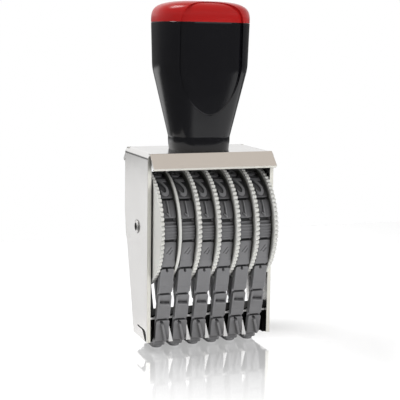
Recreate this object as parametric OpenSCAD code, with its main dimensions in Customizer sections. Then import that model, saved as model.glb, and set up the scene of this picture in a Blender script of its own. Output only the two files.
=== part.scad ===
// Hand numbering stamp. Six endless rubber bands of raised characters run
// over serrated thumb wheels and a print bar, between the cheeks of a bent
// sheet frame that carries a moulded two-colour handle.
// X runs across the bands, -Y is the front that the user faces, Z is up.
// The origin is on the rest plane, straight below the wheel axle.

/* [Frame] */
// Overall width across the two cheeks
frame_w = 70; // [70:0.5:74]
// Thickness of the sheet
sheet_t = 2; // [1.6:0.1:2]
// Height of the top plate above the rest plane
frame_top = 104; // [103:0.5:110]
// Height of the cheeks' lower edge
frame_bottom = 5.4; // [4.8:0.1:5.6]
// Outer radius of the bend between cheek and top plate
bend_r = 3; // [2.5:0.1:4]
// Reach of the cheeks in front of the axle
cheek_front = 17.5; // [17.5:0.5:20]
// Reach of the cheeks behind the axle, at the top
cheek_rear = 22.5; // [20:0.5:23]
// Reach of the cheeks behind the axle, at the foot
foot_rear = 5.5; // [4:0.5:8]
// Height at which the rear edge starts to slope inwards
slope_top = 68; // [60:1:80]
// How far the front and rear aprons reach out
apron_out = 6.8; // [5:0.2:7.2]
// How far the aprons hang below the top plate
apron_drop = 7; // [5:0.2:7.2]

/* [Wheels] */
// Height of the axle above the rest plane
axle_z = 64; // [63.5:0.1:64.5]
// Diameter of the axle
axle_d = 5; // [4:0.5:6]
// Diametral clearance of a wheel on the axle
wheel_play = 0.1; // [0.06:0.02:0.16]
// Radius of the serrated rim
rim_r = 31.3; // [30.6:0.1:31.4]
// Number of serrations round a rim
tooth_count = 78; // [60:2:84]
// Depth of a serration
tooth_depth = 0.75; // [0.4:0.05:1]
// Thickness of a wheel's flange
flange_t = 2.4; // [2.2:0.1:2.6]
// Width of the drum that carries a band
drum_w = 7.7; // [7.6:0.05:7.7]
// Radius of the drum
drum_r = 24.5; // [23:0.1:24.5]
// Distance from one wheel to the next
wheel_pitch = 10.65; // [10.65:0.01:10.7]

/* [Bands] */
// Width of a band
band_w = 7.3; // [6.6:0.1:7.3]
// Inner radius of a band where it wraps its drum
band_in_r = 24.9; // [24.9:0.05:25.1]
// Thickness of the carrier strip under the pads
carrier_t = 1.3; // [1:0.1:1.5]
// Thickness of carrier and pad together
pad_t = 3; // [2.6:0.1:3.2]
// Height of the raised printing character
relief = 1.4; // [1:0.1:1.6]
// Length of the flat bottom run
flat_len = 14.8; // [13.4:0.1:15]
// Place of the middle of the bottom run, in front of the axle
flat_mid = 3.2; // [3:0.1:4.5]
// Length of the pad that starts at the front corner
first_pad = 11.5; // [10:0.1:13]
// Length of the pads on the front run
front_pad = 14.8; // [14:0.1:15.2]
// Length of the splice pad and of its narrow neighbour
short_pad = 10; // [9:0.1:12]
// Width of the groove between two pads
groove = 0.8; // [0.6:0.1:1.2]

/* [Print bar] */
// Height of the print bar's upper face
bar_top = 18.6; // [18.6:0.2:21]
// Height of its rear shoulder, below the slope
bar_back = 12.5; // [11:0.5:16]
// Height of the bright tie rod
rod_z = 17.4; // [14:0.1:17.4]
// Diameter of the tie rod
rod_d = 1.6; // [1.2:0.1:1.8]

/* [Handle] */
// Height of the whole handle above the top plate
handle_h = 77.5; // [72:0.5:90]
// Height of the cap's part of it
cap_h = 11; // [8:0.5:14]
// Half width of the head, along X
head_a = 25.5; // [22:0.5:28]
// Half depth of the head, along Y
head_b = 21; // [18:0.5:24]
// Half width of the neck
neck_a = 16.1; // [14:0.1:18]
// Half depth of the neck
neck_b = 13.9; // [12:0.1:16]
// Width of the flat panel that is set into the front
panel_w = 34.6; // [28:0.2:36]
// Depth of that panel
panel_depth = 0.5; // [0.3:0.1:0.8]

/* [Hidden] */
$fn = 64;
eps = 0.01;

steel = [0.84, 0.83, 0.82];
ivory = [0.93, 0.92, 0.87];
rubber = [0.42, 0.42, 0.44];
black = [0.11, 0.11, 0.12];
red = [0.70, 0.12, 0.12];
brass = [0.80, 0.65, 0.30];

// Inner faces of the cheeks, and the wheel stack between them
inner_x = frame_w / 2 - sheet_t;
side_gap = 0.4;
washer_t = 0.3;
fit_gap = 0.2;
band_gap = 0.3;
first_left = -inner_x + side_gap + 0.1;
stack_right = inner_x - side_gap;
spacer_t = 1.5;
spacer_r = 30.2;
spacer_x = first_left + flange_t + drum_w + fit_gap;
wheel_count = 6;

// Left face of a wheel's flange; wheel 1 has its flange on the left of its
// drum, the others on the right
function flange_x(i) =
  i == 1 ? first_left
         : stack_right - (wheel_count - i) * wheel_pitch - flange_t;
function band_x(i) =
  i == 1 ? flange_x(1) + flange_t + band_gap
         : flange_x(i) - band_gap - band_w;

// ---- Band path ----------------------------------------------------------
// A band's inner loop is a belt round the drum and the two corners of the
// print bar. s runs from the middle of the flat bottom forwards, up the
// front run, over the drum and down the rear run; off is the distance out
// from the inner loop.
corner_r = 1.6;
band_floor = relief + pad_t;
corner_z = band_floor + corner_r;
front_c = [-flat_mid - flat_len / 2, corner_z];
rear_c = [-flat_mid + flat_len / 2, corner_z];
drum_c = [0, axle_z];
mid_off = carrier_t / 2;

function belt_angle(c, side) =
  let (d = drum_c - c, a = atan2(d[1], d[0]), fall = band_in_r - corner_r)
  a + side * acos(-fall / norm(d));
front_a = belt_angle(front_c, 1);
rear_a = belt_angle(rear_c, -1);
function ray(a) = [cos(a), sin(a)];
function run_len(c) =
  let (fall = band_in_r - corner_r) sqrt(pow(norm(drum_c - c), 2) - fall * fall);
function arc_len(r, sweep) = (r + mid_off) * sweep * PI / 180;

s_corner = flat_len / 2;
s_front = s_corner + arc_len(corner_r, 270 - front_a);
s_drum = s_front + run_len(front_c);
s_rear = s_drum + arc_len(band_in_r, front_a - rear_a);
s_heel = s_rear + run_len(rear_c);
s_flat = s_heel + arc_len(corner_r, rear_a + 90);
s_end = s_flat + flat_len / 2;

function turned(s, s0, r, a0) = a0 - (s - s0) * 180 / PI / (r + mid_off);
function on_path(s, off) =
  s <= s_corner ? [-flat_mid - s, band_floor - off]
  : s <= s_front ? front_c
      + (corner_r + off) * ray(turned(s, s_corner, corner_r, 270))
  : s <= s_drum ? front_c + (corner_r + off) * ray(front_a)
      + (s - s_front) * ray(front_a - 90)
  : s <= s_rear ? drum_c
      + (band_in_r + off) * ray(turned(s, s_drum, band_in_r, front_a))
  : s <= s_heel ? drum_c + (band_in_r + off) * ray(rear_a)
      + (s - s_rear) * ray(rear_a - 90)
  : s <= s_flat ? rear_c
      + (corner_r + off) * ray(turned(s, s_heel, corner_r, rear_a))
  : [-flat_mid + s_end - s, band_floor - off];

// Pads follow each other from the front corner round to the heel. The splice
// and its neighbour are short, and the pads above and behind them share what
// is left of the loop.
pad_count = 15;
splice_at = 5;
back_pad = (s_heel - s_front - first_pad - 3 * front_pad - 2 * short_pad)
  / (pad_count - splice_at - 1);
function pad_len(k) =
  k == 1 ? first_pad
  : k < splice_at ? front_pad
  : k <= splice_at + 1 ? short_pad
  : back_pad;
function pad_start(k) = k <= 1 ? s_front : pad_start(k - 1) + pad_len(k - 1);

pad_round = 0.35;
pad_steps = 4;
function pad_outline(s0, s1) = concat(
  [on_path(s0, carrier_t), on_path(s0, pad_t - pad_round)],
  [for (j = [0 : pad_steps])
    on_path(s0 + pad_round + (s1 - s0 - 2 * pad_round) * j / pad_steps, pad_t)],
  [on_path(s1, pad_t - pad_round), on_path(s1, carrier_t)]);

module band_section() {
  outline = concat(
    [for (k = [1 : pad_count])
      each pad_outline(pad_start(k) + (k > 1 ? groove / 2 : 0),
                       pad_start(k) + pad_len(k) - (k < pad_count ? groove / 2 : 0))],
    [for (j = [1 : 3]) on_path(s_heel + (s_flat - s_heel) * j / 4, carrier_t)],
    [on_path(s_flat, carrier_t), on_path(s_flat, pad_t)],
    [on_path(s_corner, pad_t), on_path(s_corner, carrier_t)],
    [for (j = [1 : 3]) on_path(s_corner + (s_front - s_corner) * j / 4, carrier_t)]);
  wrap_steps = 44;
  turn_steps = 4;
  hole = concat(
    [for (j = [0 : turn_steps]) on_path(s_corner + (s_front - s_corner) * j / turn_steps, 0)],
    [for (j = [0 : wrap_steps]) on_path(s_drum + (s_rear - s_drum) * j / wrap_steps, 0)],
    [for (j = [0 : turn_steps]) on_path(s_heel + (s_flat - s_heel) * j / turn_steps, 0)]);
  difference() {
    polygon(outline);
    polygon(hole);
  }
}

// Sets a profile drawn in Y and Z upright, and runs it along X
module along_x(x, length) {
  translate([x, 0, 0])
    rotate([90, 0, 90])
      linear_extrude(length) children();
}

// Stadium, the outline of a tall round character
module stadium(w, h) {
  square([w, h - w], center = true);
  for (side = [-1, 1])
    translate([0, side * (h - w) / 2]) circle(d = w);
}

char_w = 5.6;
char_h = 13.2;
stroke = 1.5;
module band(i) {
  color(rubber) {
    along_x(band_x(i), band_w) band_section();
    translate([band_x(i) + band_w / 2, -flat_mid, 0])
      linear_extrude(relief + eps)
        difference() {
          stadium(char_w, char_h);
          stadium(char_w - 2 * stroke, char_h - 2 * stroke);
        }
  }
}

// ---- Thumb wheels -------------------------------------------------------
tooth_points = 5;
function tooth_ring(r) = [
  for (k = [0 : tooth_count * tooth_points - 1])
    let (a = 360 * k / (tooth_count * tooth_points),
         lift = abs(sin(a * tooth_count / 2)))
    (r - tooth_depth * (1 - lift)) * ray(a)];

rim_edge = 0.4;
rim_step = 0.2;
module wheel(i) {
  flip = i == 1 ? 1 : -1;
  face = i == 1 ? flange_x(i) : flange_x(i) + flange_t;
  root_r = rim_r - tooth_depth - rim_step;
  color(ivory)
    translate([face, 0, axle_z])
      rotate([0, 90 * flip, 0])
        difference() {
          union() {
            rotate_extrude()
              polygon([[0, 0], [root_r - rim_edge, 0], [root_r, rim_edge],
                [root_r, flange_t - rim_edge], [root_r - rim_edge, flange_t],
                [drum_r, flange_t], [drum_r, flange_t + drum_w - rim_edge],
                [drum_r - rim_edge, flange_t + drum_w], [0, flange_t + drum_w]]);
            translate([0, 0, rim_edge])
              linear_extrude(flange_t - 2 * rim_edge)
                difference() {
                  polygon(tooth_ring(rim_r));
                  circle(r = root_r - 2);
                }
          }
          translate([0, 0, -1])
            cylinder(d = axle_d + wheel_play, h = flange_t + drum_w + 2);
        }
}

module spacer_disc() {
  color(ivory)
    translate([spacer_x, 0, axle_z])
      rotate([0, 90, 0])
        rotate_extrude()
          polygon([[axle_d / 2, 0], [spacer_r - 0.3, 0], [spacer_r, 0.3],
            [spacer_r, spacer_t - 0.3], [spacer_r - 0.3, spacer_t],
            [axle_d / 2, spacer_t]]);
}

// ---- Axle ---------------------------------------------------------------
rivet_d = 7.4;
rivet_h = 0.8;
dimple_d = 4.2;
dimple_h = 2.4;
module axle() {
  half = frame_w / 2;
  color(steel)
    translate([0, 0, axle_z])
      rotate([0, 90, 0])
        difference() {
          union() {
            cylinder(d = axle_d, h = 2 * half, center = true);
            for (side = [-1, 1])
              mirror([0, 0, side < 0 ? 1 : 0])
                translate([0, 0, half])
                  rotate_extrude()
                    polygon([[0, 0], [rivet_d / 2, 0], [rivet_d / 2 - 0.3, rivet_h * 0.6],
                      [rivet_d / 2 - 1, rivet_h], [0, rivet_h]]);
          }
          for (side = [-1, 1])
            mirror([0, 0, side < 0 ? 1 : 0])
              translate([0, 0, half + rivet_h - dimple_h])
                cylinder(d = dimple_d, h = dimple_h + 1);
        }
}

module axle_washers() {
  washer_d = 14;
  color(steel)
    for (x = [-inner_x, inner_x - washer_t])
      translate([x, 0, axle_z])
        rotate([0, 90, 0])
          difference() {
            cylinder(d = washer_d, h = washer_t);
            translate([0, 0, -1]) cylinder(d = axle_d, h = washer_t + 2);
          }
}

// ---- Frame --------------------------------------------------------------
screw_d = 5;
handle_y = (cheek_rear - cheek_front) / 2;
notch_front = 16.4;
notch_rear = 1.6;
notch_top = 11.4;
notch_r = 3.4;
notch_gap = 0.8;

module round_top(half_w, height, r) {
  translate([-half_w, 0]) square([2 * half_w, height - r]);
  translate([-half_w + r, 0]) square([2 * (half_w - r), height]);
  for (side = [-1, 1])
    translate([side * (half_w - r), height - r]) circle(r = r);
}

module cheek_outline() {
  polygon([[-cheek_front, frame_bottom], [foot_rear, frame_bottom],
    [cheek_rear, slope_top], [cheek_rear, frame_top], [-cheek_front, frame_top]]);
}

// Slot round the tongue that holds the print bar's end: a thin gap over it and
// a wider space in front of it
module notch_outline() {
  difference() {
    union() {
      translate([-notch_front, frame_bottom - 1])
        square([notch_front - notch_rear, notch_top - notch_r - frame_bottom + 1]);
      translate([-notch_front + notch_r, frame_bottom - 1])
        square([notch_front - notch_rear - notch_r, notch_top - frame_bottom + 1]);
      translate([-notch_front + notch_r, notch_top - notch_r]) circle(r = notch_r);
    }
    tongue_outline();
  }
}

tongue_tip = [-notch_front + 1.8, frame_bottom];
tongue_bend = [-notch_front + 5.2, notch_top - 2.3];
tongue_top = [-notch_front + 7.4, notch_top - notch_gap];
module tongue_outline() {
  polygon([tongue_tip, tongue_bend, tongue_top,
    [-notch_rear + 1, notch_top - notch_gap], [-notch_rear + 1, frame_bottom - 2],
    [tongue_tip[0], frame_bottom - 2]]);
}

// One apron, bent out and down from the edge of the top plate at y = 0
apron_side = 1.1;
module apron_outline() {
  fall = sqrt(apron_out * apron_out + apron_drop * apron_drop);
  down = [-apron_out, -apron_drop] / fall;
  inward = [apron_drop, -apron_out] / fall * (sheet_t - 0.4);
  lip = [-apron_out, -apron_drop];
  heel = inward + down * (sheet_t + inward[1]) / -down[1];
  polygon([[2, 0], [0, 0], lip, lip + inward, heel, [2, -sheet_t]]);
}

module frame() {
  apron_w = frame_w - 2 * apron_side;
  color(steel)
    difference() {
      union() {
        intersection() {
          translate([0, cheek_rear + 5, 0])
            rotate([90, 0, 0])
              linear_extrude(cheek_rear + cheek_front + 10)
                difference() {
                  round_top(frame_w / 2, frame_top, bend_r);
                  translate([0, -1])
                    round_top(inner_x, frame_top - sheet_t + 1, bend_r - sheet_t);
                }
          along_x(-frame_w, 2 * frame_w) cheek_outline();
        }
        along_x(-apron_w / 2, apron_w)
          translate([-cheek_front, frame_top]) apron_outline();
        along_x(-apron_w / 2, apron_w)
          translate([cheek_rear, frame_top]) mirror([1, 0]) apron_outline();
      }
      along_x(-frame_w, 2 * frame_w) notch_outline();
      translate([-frame_w, 0, axle_z])
        rotate([0, 90, 0]) cylinder(d = axle_d, h = 2 * frame_w);
      translate([0, handle_y, frame_top - sheet_t - 1])
        cylinder(d = screw_d, h = sheet_t + 2);
    }
}

// ---- Print bar ----------------------------------------------------------
bar_inset = 2;
fin_inset = 0.8;
fin_gap = 0.35;
bar_edge = 0.4;
bar_flat = 0.5;
end_t = 1.6;

// Point on the front or rear run of a band at height z
function on_front(z, off) =
  let (p = on_path(s_front, off), d = ray(front_a - 90))
  p + d * (z - p[1]) / d[1];
function on_rear(z, off) =
  let (p = on_path(s_heel, off), d = ray(rear_a - 90))
  p + d * (z - p[1]) / d[1];

nose_z = band_floor + 2.2;
module bar_outline(inset) {
  polygon([[front_c[0] + 0.6, band_floor], on_front(nose_z, -0.7),
    on_front(nose_z + 3, -max(inset, fin_inset)), on_front(bar_top - bar_edge, -inset),
    on_front(bar_top, -inset - bar_edge), [bar_flat, bar_top],
    on_rear(bar_back, -inset), on_rear(nose_z + 3, -max(inset, fin_inset)),
    on_rear(nose_z, -0.7), [rear_c[0] - 0.6, band_floor]]);
}

// Lug at each end of the bar, which fills the space in front of the tongue
lug_gap = 0.25;
lug_sink = 0.3;
module lug_outline() {
  front = -notch_front + lug_gap;
  polygon([[front, frame_bottom], [front, notch_top - notch_r],
    [front + 1, notch_top - 1.5], [front + notch_r, notch_top - lug_gap],
    [tongue_bend[0] + 0.6, notch_top - lug_gap], tongue_bend - [lug_gap + 0.1, 0],
    tongue_tip - [lug_gap + 0.1, 0]]);
}

// Block inside each cheek that joins the lug to the bar
module end_outline() {
  polygon([[-notch_front + lug_gap, frame_bottom], [-notch_front + lug_gap, notch_top - 1],
    on_front(notch_top + 3, -fin_inset), on_front(notch_top + 3, -fin_inset) + [4, 0],
    [front_c[0] + 3, frame_bottom]]);
}

// Spaces between the bands, from cheek to cheek
function fin_left(i) = i == 0 ? -inner_x : band_x(i) + band_w + fin_gap;
function fin_right(i) = i == wheel_count ? inner_x : band_x(i + 1) - fin_gap;

module print_bar() {
  rod_at = on_front(rod_z, -fin_inset - rod_d / 2 + 0.3);
  color(black)
    difference() {
      union() {
        along_x(-inner_x, 2 * inner_x) bar_outline(bar_inset);
        for (i = [0 : wheel_count])
          along_x(fin_left(i), fin_right(i) - fin_left(i)) bar_outline(fin_inset);
        for (x = [-inner_x, inner_x - end_t])
          along_x(x, end_t) end_outline();
        for (x = [-frame_w / 2 + lug_sink, inner_x - eps])
          along_x(x, sheet_t - lug_sink + eps) lug_outline();
      }
      along_x(-frame_w, 2 * frame_w) translate(rod_at) circle(d = rod_d);
    }
}

module bar_rod() {
  rod_at = on_front(rod_z, -fin_inset - rod_d / 2 + 0.3);
  color(steel)
    along_x(-inner_x, 2 * inner_x) translate(rod_at) circle(d = rod_d);
}

// ---- Handle -------------------------------------------------------------
collar_h = 5;
waist_h = 52;
section_power = 2.6;

// Share of the way from neck to head at height h above the top plate
function swell(h) =
  h <= collar_h ? 0
  : h >= waist_h ? 1
  : let (t = (h - collar_h) / (waist_h - collar_h))
    0.65 * (1 - cos(180 * t)) / 2 + 0.35 * sin(90 * t);
function half_a(h) = neck_a + (head_a - neck_a) * swell(h);
function half_b(h) = neck_b + (head_b - neck_b) * swell(h);

// Half width of the panel, a long U with a blunt top that ends on the cap
panel_foot = 19;
panel_knee = 45;
panel_shoulder = handle_h - 15.5;
panel_top = handle_h - 0.7;
panel_tip = 1.6;
panel_wall = 0.5;
function arch(t, power) = pow(1 - pow(t, power), 1 / power);
function panel_half(h) =
  h <= panel_foot || h >= panel_top ? 0
  : h < panel_knee
    ? panel_w / 2 * arch((panel_knee - h) / (panel_knee - panel_foot), 1.8)
  : h > panel_shoulder
    ? panel_w / 2 * arch((h - panel_shoulder) / (panel_top - panel_shoulder), 3)
  : panel_w / 2;

// Section of the skin at height h, shrunk by k: a soft oval from one edge of the
// panel round the back to the other, and then the panel itself, set back
side_points = 34;
panel_points = 8;
function soft(v, p) = sign(v) * pow(abs(v), p);
function section(h, k, z) =
  let (a = half_a(h) * k, b = half_b(h) * k, p = section_power,
       w = max(panel_half(h), panel_tip),
       set_back = w > panel_tip ? panel_depth : 0,
       edge = acos(pow((w + panel_wall) / a, p / 2)))
  concat(
    [for (i = [0 : side_points - 1])
      let (t = -edge + (180 + 2 * edge) * i / (side_points - 1))
      [a * soft(cos(t), 2 / p), b * soft(sin(t), 2 / p), z]],
    [for (i = [0 : panel_points - 1])
      let (x = w * (2 * i / (panel_points - 1) - 1))
      [x, set_back - b * pow(1 - pow(abs(x) / a, p), 1 / p), z]]);

// Closed skin over a stack of sections that share a number of points
module loft(rings) {
  n = len(rings[0]);
  last = len(rings) - 1;
  polyhedron(
    points = [for (r = rings) each r],
    faces = concat(
      [[for (k = [0 : n - 1]) k]],
      [for (j = [0 : last - 1], k = [0 : n - 1])
        each [[j * n + k, (j + 1) * n + k, (j + 1) * n + (k + 1) % n],
              [j * n + k, (j + 1) * n + (k + 1) % n, j * n + (k + 1) % n]]],
      [[for (k = [n - 1 : -1 : 0]) last * n + k]]));
}

body_h = handle_h - cap_h;
insert_d = 9;
insert_h = 18;
module handle_body() {
  levels = concat([0, collar_h - 0.4], [for (h = [collar_h : 3.5 : panel_foot]) h],
    [panel_foot + 0.4, panel_foot + 1.6], [for (h = [22.5 : 3.75 : panel_knee]) h],
    [48.5, waist_h], [for (h = [panel_shoulder : 2 : body_h - 0.5]) h], [body_h]);
  color(black)
    translate([0, handle_y, frame_top])
      difference() {
        loft([for (h = levels) section(h, 1, h)]);
        translate([0, 0, -1]) cylinder(d = insert_d, h = insert_h + 1);
      }
}

cap_power = 3.6;
cap_steps = 12;
module handle_cap() {
  color(red)
    translate([0, handle_y, frame_top])
      loft([for (j = [0 : cap_steps])
        let (t = 86 * j / cap_steps, h = body_h + cap_h * pow(sin(t), 2 / cap_power))
        section(h, pow(cos(t), 2 / cap_power), h)]);
}

module handle_insert() {
  color(brass)
    translate([0, handle_y, frame_top])
      difference() {
        cylinder(d = insert_d, h = insert_h);
        translate([0, 0, -1]) cylinder(d = screw_d, h = insert_h - 1);
      }
}

washer_h = 1;
head_h = 3.2;
module handle_washer() {
  color(steel)
    translate([0, handle_y, frame_top - sheet_t - washer_h])
      difference() {
        cylinder(d = 12, h = washer_h);
        translate([0, 0, -1]) cylinder(d = screw_d, h = washer_h + 2);
      }
}

module handle_screw() {
  under = frame_top - sheet_t - washer_h;
  color(steel)
    translate([0, handle_y, 0])
      difference() {
        union() {
          translate([0, 0, under - head_h]) cylinder(d = 9.4, h = head_h);
          translate([0, 0, under - eps]) cylinder(d = screw_d, h = sheet_t + washer_h + 12);
        }
        translate([0, 0, under - head_h - 1])
          linear_extrude(2.6)
            for (a = [0, 90]) rotate(a) square([5, 1.1], center = true);
      }
}

frame();
handle_body();
handle_cap();
handle_insert();
handle_screw();
handle_washer();
axle();
axle_washers();
spacer_disc();
print_bar();
bar_rod();
for (i = [1 : wheel_count])
  wheel(i);
for (i = [1 : wheel_count])
  band(i);
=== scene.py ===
# %% [markdown]
# # Dressing a six-band number stamp
# The stamp is a bent steel frame with six rubber bands on thumb wheels inside it
# and a moulded handle on top. Its solids come from CAD, at their real size and in
# metres. Here they get their finishes, and the pieces with soft or rounded forms,
# the wheels, the bands and the handle, are modelled again as meshes.

# %% Load the frame
import math

import bmesh
import bpy
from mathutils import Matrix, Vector


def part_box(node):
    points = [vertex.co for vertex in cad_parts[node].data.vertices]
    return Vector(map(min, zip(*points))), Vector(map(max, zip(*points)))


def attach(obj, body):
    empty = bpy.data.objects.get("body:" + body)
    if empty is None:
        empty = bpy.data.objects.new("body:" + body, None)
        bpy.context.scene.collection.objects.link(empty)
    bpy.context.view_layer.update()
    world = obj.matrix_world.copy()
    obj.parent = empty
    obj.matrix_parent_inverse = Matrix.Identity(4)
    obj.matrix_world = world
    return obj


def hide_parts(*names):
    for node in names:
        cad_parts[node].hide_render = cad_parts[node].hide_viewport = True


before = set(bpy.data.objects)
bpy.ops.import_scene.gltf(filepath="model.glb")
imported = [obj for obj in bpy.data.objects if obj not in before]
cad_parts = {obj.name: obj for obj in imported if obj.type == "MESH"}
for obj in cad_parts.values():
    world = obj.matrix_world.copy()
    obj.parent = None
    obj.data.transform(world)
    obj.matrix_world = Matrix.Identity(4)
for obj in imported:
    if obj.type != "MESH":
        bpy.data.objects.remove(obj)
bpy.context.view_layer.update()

# %% [markdown]
# ## Measures
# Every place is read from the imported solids, so a piece made here sits on what
# carries it. Only sizes that a bounding box can't tell are written as numbers.

# %% Measures from the solids
MM = 0.001
ROOT = "stamp_frame"
COLUMNS = range(1, 7)


def span(node, axis):
    """Low and high end of a solid along an axis: 0 is x, 1 is y and 2 is z."""
    low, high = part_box(node)
    return low[axis], high[axis]


def middle(node, axis):
    """Middle of a solid along an axis."""
    return sum(span(node, axis)) / 2


def extent(node, axis):
    """Size of a solid along an axis."""
    low, high = span(node, axis)
    return high - low


AXLE_Z = middle("axle", 2)
PLATE_Z = span("handle_body", 2)[0]
CAP_Z = span("handle_cap", 2)[0]
HANDLE_TOP = span("handle_cap", 2)[1]
HANDLE_Y = middle("handle_body", 1)
BAND_W = extent("band_1", 0)
print(f"axle at {AXLE_Z / MM:.1f} mm, top plate at {PLATE_Z / MM:.1f} mm")

# %% [markdown]
# ## Arithmetic on shader sockets
# A finish is easier to read as a formula than as a chain of boxes. This small
# class wraps a socket, so that `1 - mask * 0.3` adds its own Math nodes. `ramp`
# turns any value into a mask: it says where the mask is 0 and where it is 1.


# %% Socket arithmetic
class Socket:
    """A shader socket that can stand in a sum."""

    def __init__(self, tree, link):
        self.tree = tree
        self.link = link

    def maths(self, operation, first, second):
        """Adds one Math node and returns its result."""
        node = self.tree.nodes.new("ShaderNodeMath")
        node.operation = operation
        for slot, term in zip(node.inputs, (first, second)):
            plug(self.tree, slot, term)
        return Socket(self.tree, node.outputs[0])

    def __add__(self, other):
        return self.maths("ADD", self, other)

    def __sub__(self, other):
        return self.maths("SUBTRACT", self, other)

    def __rsub__(self, other):
        return self.maths("SUBTRACT", other, self)

    def __mul__(self, other):
        return self.maths("MULTIPLY", self, other)

    __radd__ = __add__
    __rmul__ = __mul__


print("sockets can be added, subtracted and multiplied")


# %% Links and masks
def plug(tree, slot, term):
    """Links a socket to an input, or sets the input to a plain value."""
    if isinstance(term, Socket):
        tree.links.new(term.link, slot)
    else:
        slot.default_value = term


def held(socket):
    """The socket's value, kept between 0 and 1."""
    kept = socket.maths("ADD", socket, 0.0)
    kept.link.node.use_clamp = True
    return kept


def ramp(socket, zero, one):
    """0 where the value is `zero`, 1 where it is `one`, and held beyond both."""
    return held((socket - zero) * (1 / (one - zero)))


print("masks run from 0 to 1")

# %% [markdown]
# ## One way to make a finish
# A finish starts as a Principled shader with plain values. Whatever varies over
# the surface is fed in afterwards. Every node comes from the same method.


# %% The Finish class
class Finish:
    """A material, with one method that adds any node to it."""

    def __init__(self, name, **plain):
        self.material = bpy.data.materials.new(name)
        self.material.use_nodes = True
        self.tree = self.material.node_tree
        self.shader = self.tree.nodes["Principled BSDF"]
        for label, value in plain.items():
            self.feed(label.replace("_", " "), value)

    def node(self, kind, settings, inputs, output=0):
        """Adds a node, sets it up, plugs in its inputs and returns one output."""
        node = self.tree.nodes.new("ShaderNode" + kind)
        for key, value in settings.items():
            setattr(node, key, value)
        for label, term in inputs.items():
            plug(self.tree, node.inputs[label], term)
        return Socket(self.tree, node.outputs[output])

    def feed(self, label, term):
        """Gives the shader's input a plain value or a socket."""
        slots = {slot.name.lower(): slot for slot in self.shader.inputs}
        plug(self.tree, slots[label.lower()], term)

    def place(self):
        """The place on the object, in metres."""
        return self.node("TexCoord", {}, {}, "Object")

    def along(self, axis, vector=None):
        """One part of a vector, or of the place on the object."""
        return self.node("SeparateXYZ", {}, {"Vector": vector or self.place()}, axis)

    def noise(self, scale, detail, stretch=(1, 1, 1)):
        """Soft grey noise. A small number in stretch draws it out along that axis."""
        where = self.node("Mapping", {}, {"Vector": self.place(), "Scale": stretch})
        return self.node("TexNoise", {}, {"Vector": where, "Scale": scale, "Detail": detail})

    def openness(self, reach, own_only=False):
        """1 where nothing stands within reach, and less in corners and under edges."""
        settings = {"samples": 8, "only_local": own_only}
        return self.node("AmbientOcclusion", settings, {"Distance": reach}, "AO")

    def blend(self, mask, dark, light):
        """Dark where the mask is 0 and light where it is 1, as colours or sockets."""
        first, last = (end if isinstance(end, Socket) else (*end, 1) for end in (dark, light))
        return self.node("Mix", {"data_type": "RGBA"}, {0: mask, 6: first, 7: last}, 2)

    def bump(self, height, strength, depth, normal=None):
        """Small relief, over the mesh's own normal or over a given one."""
        terms = {"Height": height, "Strength": strength, "Distance": depth}
        if normal:
            terms["Normal"] = normal
        self.feed("Normal", self.node("Bump", {}, terms))


print("finishes are made by one class")

# %% [markdown]
# ## The finishes
# Nickel plate on pressed sheet is bright and a little wavy, with a painted highlight on
# its front edges and painted shade inside. The wheels are an ivory moulding, slightly
# translucent, with painted shade in their notches and lanes. The bands are matt rubber
# with painted shade in their grooves and over the drum, and a painted highlight on
# their edges. The handle is satin black, and its cap glossy red.


# %% Nickel plate
def nickel_plate():
    """Bright plate, with a painted highlight on its matt front edges and painted shade inside.
    """
    finish = Finish("nickel_plate")
    wave = finish.noise(38, 2)
    haze = finish.noise(900, 4)
    facing = finish.node("NewGeometry", {}, {}, "True Normal")
    front = 0 - finish.along("Y", facing)
    up = finish.along("Z", facing)
    # The cut edges of the sheet that face forward or down are matt, and their near-white colour
    # is also a painted highlight.
    edge = held(ramp(front, 0.85, 0.95) + ramp(front - up, 1.2, 1.3))
    # Painted shade: black inside the frame and close to other parts, but not on the top.
    unshaded = ramp(finish.openness(90 * MM, own_only=True), 0.45, 0.9) * 0.95 + 0.05
    unshaded = unshaded * ramp(finish.openness(6 * MM), 0.125, 0.75)
    on_top = ramp(finish.along("Z"), PLATE_Z - 1.5 * MM, PLATE_Z - 0.5 * MM)
    unshaded_or_on_top = held(unshaded + on_top)
    plate = finish.blend(wave, (0.73, 0.715, 0.70), (0.81, 0.80, 0.79))
    sheared_and_lit = finish.blend(haze, (0.95, 0.93, 0.84), (1.0, 0.99, 0.92))
    bright = finish.blend(edge, plate, sheared_and_lit)
    finish.feed("Base Color", finish.blend(unshaded_or_on_top, (0.01, 0.01, 0.01), bright))
    finish.feed("Metallic", 1 - edge)
    finish.feed("Roughness", 0.14 + haze * 0.08 + edge * 0.3)
    broken_edge = finish.node("Bevel", {"samples": 6}, {"Radius": 0.35 * MM})
    finish.bump(wave, 0.25, 0.3 * MM, broken_edge)
    return finish.material


NICKEL = nickel_plate()
print("plate:", NICKEL.name)


# %% Other metals
def lined_metal(name, dark, light, scale, stretch, rough, spread, metallic=1.0):
    """Metal with fine lines, which run the way that the noise is stretched."""
    finish = Finish(name, Metallic=metallic)
    lines = finish.noise(scale, 2, stretch)
    finish.feed("Base Color", finish.blend(lines, dark, light))
    finish.feed("Roughness", rough + lines * spread)
    return finish.material


def riveted_end():
    """Nickel plate, with painted shade, black and dull, down in the dimple of the riveted end.
    """
    finish = Finish("riveted_end")
    # Painted shade: the dimple turns black and dull where little light reaches into it.
    dimple_unshaded = ramp(finish.openness(3 * MM), 0.78, 1.0)
    finish.feed("Base Color", finish.blend(dimple_unshaded, (0.02, 0.02, 0.02), (0.80, 0.79, 0.77)))
    finish.feed("Metallic", dimple_unshaded)
    finish.feed("Roughness", 0.5 - dimple_unshaded * 0.25)
    return finish.material


# The rod is given a near-white, almost non-metal colour: a painted highlight in place of
# polished steel's shine. The dividers share it.
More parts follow.
